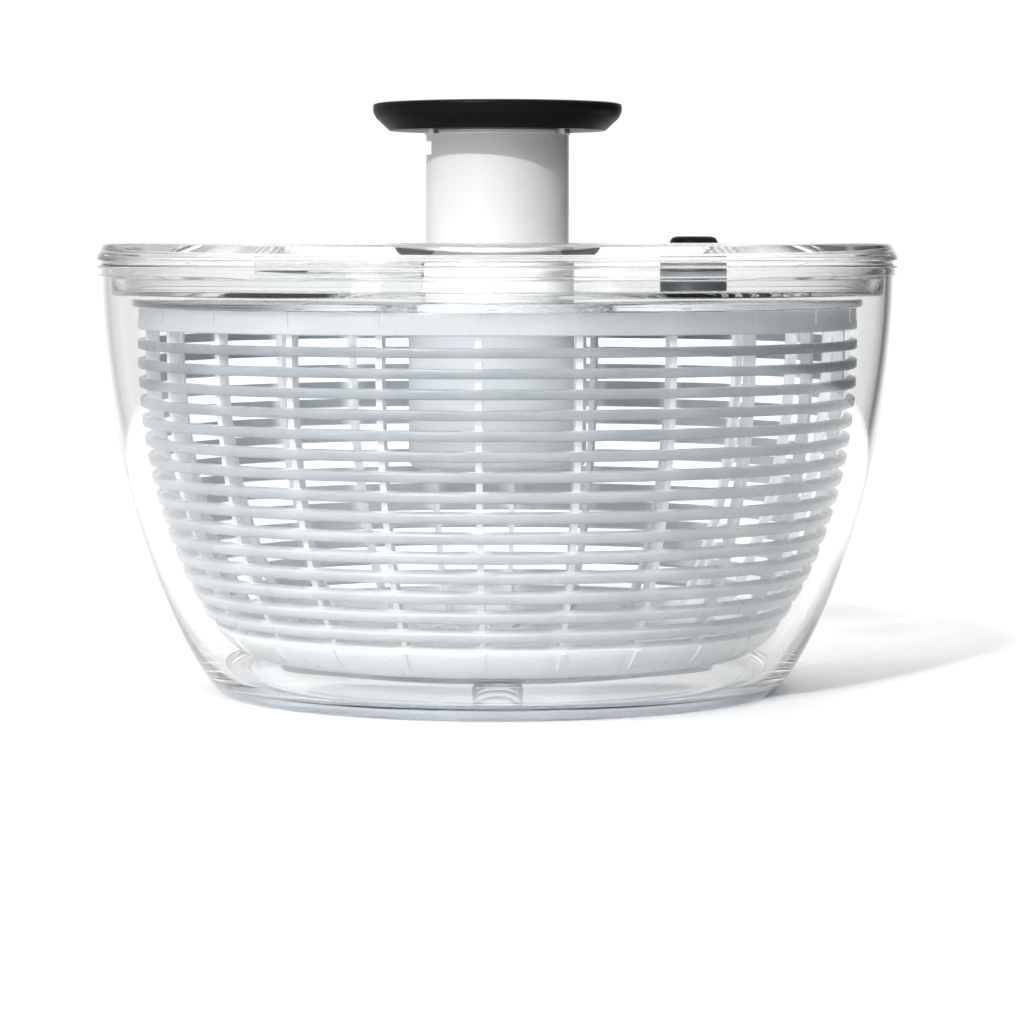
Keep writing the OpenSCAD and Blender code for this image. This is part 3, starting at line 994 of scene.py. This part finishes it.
    def mark_painted_light(self, made: bpy.types.Object) -> None:
        """Marks where light is painted on: fully on the ribs and the lower band, and half on the upper band; there
        the colour is painted whiter, to lift the ribs out of the shade the hoops cast and to brighten the bands.

        A point lies on a rib when its turn from the nearest rib, times its radius, is within half of the rib's
        width, and it lies more than the hoops' relief inside the outer profile.

        Args:
            made: the basket.
        """
        spots = np.empty(3 * len(made.data.vertices), np.float32)
        made.data.vertices.foreach_get("co", spots)
        x, y, z = spots.reshape(-1, 3).T / MM
        r = np.hypot(x, y)
        turn = np.radians(self.rib_turn)
        pitch = 2 * np.pi / self.ribs
        off = (np.arctan2(y, x) - turn + pitch / 2) % pitch - pitch / 2
        rib = (np.abs(off) * r < self.rib_w * 0.6) & (self.side_r(z) - r > 1.5)
        share = np.where(z > self.band_low - 0.5, self.band_light_share, 0.0)
        share[(z < self.lower_band_top + 1) | rib] = 1.0
        made.data.attributes.new(PAINTED_LIGHT, "FLOAT", "POINT").data.foreach_set("value", share.astype(np.float32))

    def hub(self) -> Surface:
        """The hub under and over the bottom, with its stepped bore for the bush."""
        low = self.hub_low
        steps = [(0.3, 14, 0), (6.05, 14, 0.2), (6.05, 11, 0.1), (7.6, 11, 0.1), (7.6, low, 0.2), (9.2, low, 0.4)]
        steps += [(9.2, low + 7.6, 0.8), (0.3, low + 7.6, 0)]
        return turned_stack(steps, 96)

    def build(self) -> None:
        """Makes the basket and the clip in its hub."""
        whole = joined([self.side(), self.hub()])
        made = self.add(whole, "lattice_basket", "basket")
        # painted light: marks the ribs and bands that are painted whiter
        self.mark_painted_light(made)
        low, high = mm_box("bush_clip")
        clip = turned_ring(6.1, high[0], low[2], high[2], 0.2)
        self.add(clip, "hub_clip", "bush_clip")
        low, high = mm_box("pivot_bush")
        bush = [(3.05, low[2], 0.3), (6, low[2], 0.3), (6, 10, 0.1), (high[0], 10, 0.2), (high[0], 10.95, 0.2)]
        bush += [(6, 10.95, 0.1), (6, high[2], 0.3), (3.05, high[2], 0.3)]
        self.add(carried(filleted(bush), circle(96)), "centre_bush", "pivot_bush")


@dataclass
class Lid(Assembly):
    """The double-walled clear lid, with the pump's guide and collar."""

    seat_z: float = 141.0
    plug_r: float = 127.6
    plate_h: float = 2.0
    opening: tuple[float, float] = (-79.5, -58.5)
    opening_half: float = 8.2

    def __post_init__(self) -> None:
        """Reads the lid's heights and the places of its holes from the frame."""
        low, high = mm_box("lid_cover")
        self.flange_r, self.skirt_z, self.top_z = high[0], low[2], high[2]
        self.guide_r = 25.3
        self.deck_z = mm_box("lock_frame")[0][2]
        low, high = mm_box("brake_plunger")
        self.brake_x = (low[0] + high[0]) / 2

    def cover(self) -> Surface:
        """The lid's upper shell: deck, raised rim, flange, seat on the bowl and plug skirt."""
        hole, deck, low_deck = self.guide_r + 0.1, self.deck_z, self.deck_z - 2
        corners = [
            (hole, deck, 0.3), (123.4, deck, 2.5), (125.8, 147.4, 1.2), (127.6, self.top_z, 0.9),
            (130.0, self.top_z, 1.6), (self.flange_r, 143.6, 1.2), (self.flange_r, 142.3, 0.5),
            (130.8, 142.3, 0.2), (130.8, self.seat_z, 0.2), (self.plug_r, self.seat_z, 0.3),
            (127.3, self.skirt_z, 0.6), (124.5, self.skirt_z, 0.6), (124.5, low_deck, 1.2), (hole, low_deck, 0.3),
        ]
        return carried(filleted(corners, step_deg=14), circle(224))

    def base(self) -> Surface:
        """The lid's lower plate, with its upstanding edge inside the skirt."""
        low = mm_box("lid_base")[0][2]
        hole, top = self.guide_r + 0.1, low + self.plate_h
        corners = [(hole, low, 0.3), (124.4, low, 0.7), (124.4, 137, 0.6), (122.9, 137, 0.6)]
        corners += [(122.9, top, 1.0), (hole, top, 0.3)]
        return carried(filleted(corners, step_deg=18), circle(224))

    def guide(self) -> bpy.types.Object:
        """The white sleeve that guides the pump, with its floor, flange and window for the lock."""
        low, high = mm_box("pump_guide")
        bore, out, floor = 24.05, self.guide_r, low[2] + 2
        corners = [
            (4.05, low[2], 0.3), (out, low[2], 0.6), (out, 133, 0.2), (high[0], 133, 0.2), (high[0], 134.2, 0.4),
            (out, 134.2, 0.4), (out, high[2], 0.3), (bore, high[2], 0.3), (bore, floor, 0.4), (4.05, floor, 0.3),
        ]
        made = self.add(carried(filleted(corners), circle(160)), "pump_sleeve", "pump_guide"
        )
        window = rounded_block(np.array([-30, -9.3, 139.2]), np.array([-15, 9.3, 143.2]), 0.4, 0.3)
        cut(made, window)
        return made

    def build(self) -> None:
        """Makes the lid's fixed pieces."""
        brake_hole = turned_stack([(8.6, 140, 0), (8.6, 149, 0)], 64).moved(self.brake_x)
        middle = sum(self.opening) / 2
        half = (self.opening[1] - self.opening[0]) / 2
        low_corner = np.array([middle - half, -self.opening_half, 140])
        high_corner = np.array([middle + half, self.opening_half, 149])
        slot = rounded_block(low_corner, high_corner, 1.2, 0.01)
        cover = self.add(self.cover(), "lid_upper_shell", "lid_cover")
        cut(cover, brake_hole)
        cut(cover, slot)
        base = self.add(self.base(), "lid_lower_shell", "lid_base")
        cut(base, turned_stack([(6.9, 130, 0), (6.9, 134, 0)], 64).moved(self.brake_x))
        self.guide()
        low, high = mm_box("pump_collar")
        corners = [
            (23.75, low[2], 0.1), (25.3, low[2], 0.1), (25.3, self.deck_z, 0.05), (high[0], self.deck_z, 0.2),
            (high[0], high[2], 0.6), (24.45, high[2], 0.3), (24.45, 145.6, 0.1), (23.75, 145.6, 0.2),
        ]
        self.add(carried(filleted(corners), circle(160)), "pump_deck_ring", "pump_collar")


@dataclass
class Disc(Assembly):
    """The clear disc that drives the basket, with the cup that hangs under it round the works."""

    lugs: int = 12
    lug_turn: float = 269.2

    def __post_init__(self) -> None:
        """Reads the disc's levels from the frame."""
        low, high = mm_box("drive_disc")
        self.low_z, self.top_z, self.edge_r = low[2], high[2], high[0]
        self.hub_z = mm_box("disc_bearing")[0][2]

    def plate(self) -> Surface:
        """The disc with its hub and deeper edge, and the lugs that reach between the basket's ribs."""
        top, edge = self.top_z, self.edge_r
        corners = [
            (26.9, self.hub_z, 0.3), (34, self.hub_z, 0.5), (34, 127.8, 0.8), (115.6, 127.8, 0.3),
            (116.4, 127.2, 0.3), (edge, 127.2, 0.8), (edge, top, 0.8), (26.9, top, 0.4),
        ]
        lug = rounded_block(np.array([112.6, -1.5, 123.0]), np.array([116.0, 1.5, 128.2]), 0.6, 0.4)
        lugs = [lug.turned(self.lug_turn + i * 360 / self.lugs) for i in range(self.lugs)]
        return joined([carried(filleted(corners), circle(224)), *lugs])

    def cup(self) -> Surface:
        """The cup: floor, wall and top flange."""
        low, high = mm_box("hub_cup")
        steps = [
            (0.3, low[2], 0), (29.5, low[2], 2.4), (29.5, 121.9, 0.5), (high[0], 121.9, 0.4), (high[0], high[2], 0.2),
            (27.9, high[2], 0.3), (27.9, low[2] + 2, 1.2), (0.3, low[2] + 2, 0),
        ]
        return turned_stack(steps, 128)

    def build(self) -> None:
        """Makes the disc's pieces."""
        self.add(self.plate(), "drive_plate", "drive_disc")
        self.add(self.cup(), "works_cup", "hub_cup")
        for name, node, r_in in (
            ("disc_sleeve_bearing", "disc_bearing", 25.35),
            ("disc_snap_ring", "disc_retainer", 25.3),
            ("spindle_thrust_washer", "thrust_washer", 4.05),
        ):
            low, high = mm_box(node)
            ring = turned_ring(r_in, high[0], low[2], high[2], 0.2)
            self.add(ring, name, node)


@dataclass
class Pump(Assembly):
    """The pump tube, its knob, and the stem and nut that turn the spindle."""

    bore: float = 21.7
    bead_r: float = 24.0
    slot_half: float = 9.5
    slot_h: float = 4.5
    stroke: float = 38.0
    slot_z: float = 139.0

    def __post_init__(self) -> None:
        """Reads the tube's and the knob's levels from the frame."""
        self.tube_low, self.tube_high = (corner[2] for corner in mm_box("pump_tube"))
        self.tube_r = 23.7
        low, high = mm_box("knob_cap")
        self.knob_low, self.knob_top, self.knob_r = low[2], high[2], high[0]

    def tube(self) -> None:
        """Makes the tube with its two beads and top ring, and cuts both lock slots."""
        r, low, top = self.tube_r, self.tube_low, self.tube_high
        corners = [
            (self.bore, low, 0.3), (self.bead_r, low, 0.3), (self.bead_r, low + 0.9, 0.3), (r, low + 0.9, 0.1),
            (r, 143.8, 0.1), (self.bead_r, 143.8, 0.3), (self.bead_r, 144.7, 0.3), (r, 144.7, 0.1),
            (r, top - 1.3, 0.1), (r + 0.4, top - 1.3, 0.25), (r + 0.4, top, 0.2), (self.bore, top, 0.3),
        ]
        made = self.add(carried(filleted(corners, step_deg=25), circle(192)), "pump_barrel", "pump_tube")
        for z in (self.slot_z, self.slot_z + self.stroke):
            low_corner = np.array([-26, -self.slot_half, z])
            high_corner = np.array([-19, self.slot_half, z + self.slot_h])
            cut(made, rounded_block(low_corner, high_corner, 0.3, 0.25))

    def knob(self) -> None:
        """Makes the knob's cap, with a soft taper below its widest line, and the plate that closes it."""
        low, top, r = self.knob_low, self.knob_top, self.knob_r
        taper = [(35.7, low, 0.3), (r - 0.9, 189.2, 3.0), (r, 191.3, 1.6)]
        inside = [(38.6, 191.8, 1.0), (38.6, 190.4, 0.8), (35.05, 187.4, 0.6), (35.05, low, 0.15)]
        corners = [(0.3, 191.8, 0), *inside, *taper, (r, top - 1.1, 0.5), (r - 0.25, top - 0.35, 0.4)]
        corners += [(r - 1.6, top, 1.2), (0.3, top, 0)]
        self.add(turned_stack(corners, 192), "knob_dome", "knob_cap", Edges.ROUND)
        seat = [(0.3, 187, 0), (35.0, 187, 0.2), (35.0, low, 0.3), (21.65, low, 0.2), (21.65, 182.4, 0.3)]
        seat += [(19.8, 182.4, 0.3), (19.8, low, 0.4), (0.3, low, 0)]
        bosses = [
            turned_stack([(3, 186, 0), (3, 191, 0.3), (1.2, 191, 0)], 32).moved(
                11.6 * math.cos(math.radians(30 + 120 * i)), 11.6 * math.sin(math.radians(30 + 120 * i))
            )
            for i in range(3)
        ]
        self.add(joined([turned_stack(seat, 160), *bosses]), "knob_underplate", "knob_base")

    def stem(self) -> None:
        """Makes the stem, whose flange carries the return spring."""
        low, high = mm_box("drive_stem")
        corners = [(7, low[2], 0.2), (9, low[2], 0.2), (9, 183, 0.8), (high[0], 183, 0.4), (high[0], high[2], 0.3)]
        corners += [(7, high[2], 0.2)]
        self.add(carried(filleted(corners), circle(96)), "stem_tube", "drive_stem")

    def build(self) -> None:
        """Makes the pump's pieces."""
        self.tube()
        self.knob()
        self.stem()


@dataclass
class Spindle(Assembly):
    """The twisted drive bar on its collar and journal."""

    bar_half: float = 5.0
    bar_t: float = 1.7
    lead: float = 30.0
    slices: int = 190

    def bar(self, low: float, high: float) -> Surface:
        """The flat bar: its section turns by a full circle in each lead as it climbs.

        The section is a rectangle with round corners. Each slice is that section turned by its height over the
        lead, times a full turn.
        """
        section = round_rect(self.bar_half, self.bar_t, 0.7, 5).ring(np.zeros(1))[0]
        z = np.linspace(low, high, self.slices)
        a = 2 * np.pi * z / self.lead
        x = section[None, :, 0] * np.cos(a)[:, None] - section[None, :, 1] * np.sin(a)[:, None]
        y = section[None, :, 0] * np.sin(a)[:, None] + section[None, :, 1] * np.cos(a)[:, None]
        return skinned(np.stack([x, y, np.broadcast_to(z[:, None], x.shape)], 2))

    def build(self) -> None:
        """Makes the spindle."""
        low, high = mm_box("drive_spindle")
        steps = [(0.3, low[2] + 7, 0), (1.5, low[2] + 7, 0), (1.5, low[2], 0.1), (4, low[2], 0.3), (4, 88.6, 0.2)]
        steps += [(8, 88.6, 0.2), (8, 90.6, 0.4), (0.3, 90.6, 0)]
        whole = joined([turned_stack(steps, 64), self.bar(90.5, high[2])])
        self.add(whole, "twisted_spindle", "drive_spindle")


@dataclass
class Springs(Assembly):
    """The pump's and the brake's return springs."""


    def spring(
        self, node: str, name: str, joint: str, coil: tuple[float, float, float], travel: float, x: float = 0
    ) -> None:
        """Makes one spring between its CAD solid's ends.

        Args:
            node: the CAD node it stands for.
            name: the piece's name.
            joint: not used.
            coil: radius of the coil, radius of the wire and number of turns.
            travel: not used.
            x: where its axis stands.
        """
        low, high = mm_box(node)
        coil_r, wire_r, turns = coil
        wound = helix_tube(coil_r, wire_r, low[2], high[2], turns).moved(x)
        made = self.add(wound, name, node)
        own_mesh(made)

    def build(self) -> None:
        """Makes both springs."""
        self.spring("pump_spring", "pump_return_spring", "pump_slide", (15.5, 0.8, 14), 38.0)
        low, high = mm_box("brake_spring")
        x = (low[0] + high[0]) / 2
        self.spring("brake_spring", "brake_return_spring", "brake_press", (7.75, 0.5, 4), 3.0, x)


@dataclass
class Brake(Assembly):
    """The push brake: black button, guide tube, plunger and rubber pad."""


    def build(self) -> None:
        """Makes the brake's pieces about its own axis."""
        low, high = mm_box("brake_guide")
        x = (low[0] + high[0]) / 2
        guide = turned_ring(9.8, 11.1, low[2], high[2], 0.3).moved(x)
        piece(guide, "brake_guide_tube", "brake_guide", self.finishes["brake_guide"])
        low, high = mm_box("brake_button")
        steps = [
            (0.3, 145, 0), (6.3, 145, 0.2), (6.3, 141.5, 0.2), (8.7, 141.5, 0.2), (8.7, low[2], 0.2),
            (9.4, low[2], 0.2), (9.4, 143, 0.3), (8.4, 143, 0.1), (8.4, 147.4, 1.6), (7.3, high[2] - 0.5, 1.2),
            (5.8, high[2], 2.0), (0.3, high[2] - 0.1, 0),
        ]
        button = turned_stack(steps, 96).moved(x)
        self.add(button, "brake_cap", "brake_button", Edges.ROUND)
        for name, node, edge in (("brake_rod", "brake_plunger", 0.3), ("brake_shoe", "brake_pad", 0.4)):
            low, high = mm_box(node)
            r = (high[0] - low[0]) / 2
            steps = [(0.3, low[2], 0), (r, low[2], edge), (r, high[2], edge), (0.3, high[2], 0)]
            self.add(turned_stack(steps, 64).moved(x), name, node)


@dataclass
class Lock(Assembly):
    """The pump's travel lock: slider, ribbed thumb pad and the frame round it."""

    ridges: int = 4
    ridge_pitch: float = 3.0
    ridge_w: float = 1.6

    def frame_ring(self) -> Surface:
        """The frame: a low bar with a rounded top, carried round the opening in the deck."""
        low, high = mm_box("lock_frame")
        middle = (-79.5 - 58.5) / 2
        profile = filleted([(0, low[2], 0.1), (0, high[2], 0.3), (2.9, high[2], 0.6), (2.9, low[2], 0.1)])
        return carried(profile, round_rect(10.5, 8.2, 0.8)).moved(middle)

    def pad(self) -> Surface:
        """The thumb pad and its grip ridges."""
        low, high = mm_box("lock_thumb_pad")
        body = rounded_block(low, np.array([high[0], high[1], high[2] - 0.8]), 1.2, 0.6)
        ridges = []
        for i in range(self.ridges):
            x = low[0] + 2.2 + i * self.ridge_pitch
            start = np.array([x, low[1] + 1, high[2] - 1.6])
            ridges.append(rounded_block(start, np.array([x + self.ridge_w, high[1] - 1, high[2]]), 0.7, 0.45))
        return joined([body, *ridges])

    def build(self) -> None:
        """Makes the lock's pieces."""
        low, high = mm_box("lock_slider")
        slider = rounded_block(low, high, 0.8, 0.4)
        self.add(slider, "lock_bar", "lock_slider")
        self.add(self.pad(), "lock_grip", "lock_thumb_pad")
        self.add(self.frame_ring(), "lock_surround", "lock_frame")


@dataclass
class Works(Assembly):
    """The CAD nodes that stay as they are, and take a finish."""

    nodes: tuple[str, ...] = (
        "ratchet_ring", "pawl_carrier", "cup_screws", "knob_screws", "stem_screws",
        "spindle_washer", "spindle_screw", "drive_nut",
    )

    def build(self) -> None:
        """Gives each of these nodes the finish of its slot."""
        for node in self.nodes:
            part = frame["nodes"][node]
            part.data.materials.clear()
            part.data.materials.append(self.finishes[slot_of(node)])
            log.info("%s: kept, with %s", node, slot_of(node))


# ---------------------------------------------------------------- studio


@dataclass
class Studio:
    """White floor and surroundings, one hard key light and the camera."""

    camera_distance: float = 1.25
    camera_height: float = 0.1478
    lens: float = 132.3
    pitch_deg: float = -4.08
    yaw_deg: float = 0.22
    key_from: tuple[float, float, float] = (-0.338, -0.756, 0.56)
    key_strength: float = 2.3
    key_angle_deg: float = 2.5
    sky: float = 1.22
    floor_r: float = 660.0
    floor_y: float = -20.0
    front_sky: float = 0.8
    top_sky: float = 1.05
    right_shade: float = 0.07
    left_shade: float = 0.46
    backdrop: float = 1.05
    side_span: tuple[float, float] = (0.2, 0.5)
    depth_span: tuple[float, float] = (-0.3, 0.4)
    height_span: tuple[float, float] = (0.3, 0.65)
    strip_size: tuple[float, float] = (0.35, 1.6)
    strip_power: float = 4.0
    strip_turn_deg: float = -38.0
    strip_reach: float = 2.2
    bounces: int = 32

    def camera(self) -> None:
        """Makes the camera, level with the lid and looking slightly down."""
        data = bpy.data.cameras.new("camera")
        data.lens = self.lens
        data.sensor_width = 36
        data.clip_end = 60
        made = bpy.data.objects.new("camera", data)
        made.location = (0, -self.camera_distance, self.camera_height)
        made.rotation_euler = (math.radians(90 + self.pitch_deg), 0, math.radians(-self.yaw_deg))
        bpy.context.scene.collection.objects.link(made)
        bpy.context.scene.camera = made

    def key(self) -> None:
        """Makes the key light, high on the left of the camera."""
        data = bpy.data.lights.new("key", "SUN")
        data.energy = self.key_strength
        data.angle = math.radians(self.key_angle_deg)
        made = bpy.data.objects.new("key", data)
        made.rotation_euler = (-Vector(self.key_from)).to_track_quat("-Z", "Y").to_euler()
        bpy.context.scene.collection.objects.link(made)

    def strip(self) -> None:
        """Makes the tall soft light on the left, whose reflection runs down the round pieces."""
        data = bpy.data.lights.new("strip", "AREA")
        data.shape = "RECTANGLE"
        data.size, data.size_y = self.strip_size
        data.energy = self.strip_power
        made = bpy.data.objects.new("strip", data)
        a = math.radians(self.strip_turn_deg)
        place = Vector((math.sin(a) * self.strip_reach, -math.cos(a) * self.strip_reach, 0.9))
        made.location = place
        made.rotation_euler = (Vector((0, 0, 0.1)) - place).to_track_quat("-Z", "Y").to_euler()
        bpy.context.scene.collection.objects.link(made)

    def surroundings(self) -> None:
        """Makes the white world, which is darker at the sides and in front, so that clear edges show."""
        world = bpy.data.worlds.new("studio")
        bpy.context.scene.world = world
        world.use_nodes = True
        wires = Wiring(world.node_tree)
        split = wires.add("SeparateXYZ")
        wires.plug(split.inputs[0], wires.add("TexCoord").outputs["Generated"])
        x, y, z = (split.outputs[axis] for axis in "XYZ")
        start, end = self.side_span
        right = wires.ranged(x, (start, end), (1, self.right_shade), True)
        left = wires.ranged(x, (-end, -start), (self.left_shade, 1), True)
        depth = wires.ranged(y, self.depth_span, (self.front_sky, self.sky), True)
        low = wires.maths("MULTIPLY", wires.maths("MULTIPLY", right, left), depth)
        height = wires.ranged(z, self.height_span, (0, 1), True)
        shade = wires.blend("FLOAT", height, low, self.top_sky)
        seen = wires.add("LightPath").outputs["Is Camera Ray"]
        back = world.node_tree.nodes["Background"]
        wires.plug(back.inputs["Color"], (1, 1, 1, 1))
        wires.plug(back.inputs["Strength"], wires.blend("FLOAT", seen, shade, self.backdrop))

    def floor(self) -> None:
        """Makes the wide white floor that the object stands on."""
        r = self.floor_r
        surface = carried(np.array([[0.5, -2.0], [r, -2.0], [r, 0.0], [0.5, 0.0]]), circle(128), closed=False)
        surface = surface.moved(y=self.floor_y)
        made = bpy.data.objects.new("floor", mesh_from(surface, "floor", Edges.CRISP))
        bench = NodeBench("floor paper")
        tone = bench.noise(3, 2)
        paper = bench.between(tone, (0.93, 0.93, 0.93), (0.945, 0.945, 0.945))
        bench.settings(Base_Color=paper, Roughness=0.8, Specular_IOR_Level=0.15)
        made.data.materials.append(bench.material)
        bpy.context.scene.collection.objects.link(made)

    def build(self) -> None:
        """Makes the studio."""
        self.camera()
        self.key()
        self.strip()
        self.surroundings()
        self.floor()
        scene = bpy.context.scene
        scene.view_settings.view_transform = "Standard"
        for kind in ("max_bounces", "transmission_bounces", "glossy_bounces", "transparent_max_bounces"):
            setattr(scene.cycles, kind, self.bounces)
        scene.cycles.diffuse_bounces = 6


def main() -> None:
    """Builds the studio and every sub-assembly."""
    logging.basicConfig(level=logging.INFO, format="%(name)s: %(message)s")
    Studio().build()
    finishes = all_finishes()
    for part in (Bowl, Basket, Disc, Lid, Pump, Spindle, Springs, Brake, Lock, Works):
        log.info("building %s", part.__name__)
        part(finishes).build()


if __name__ == "__main__":
    main()
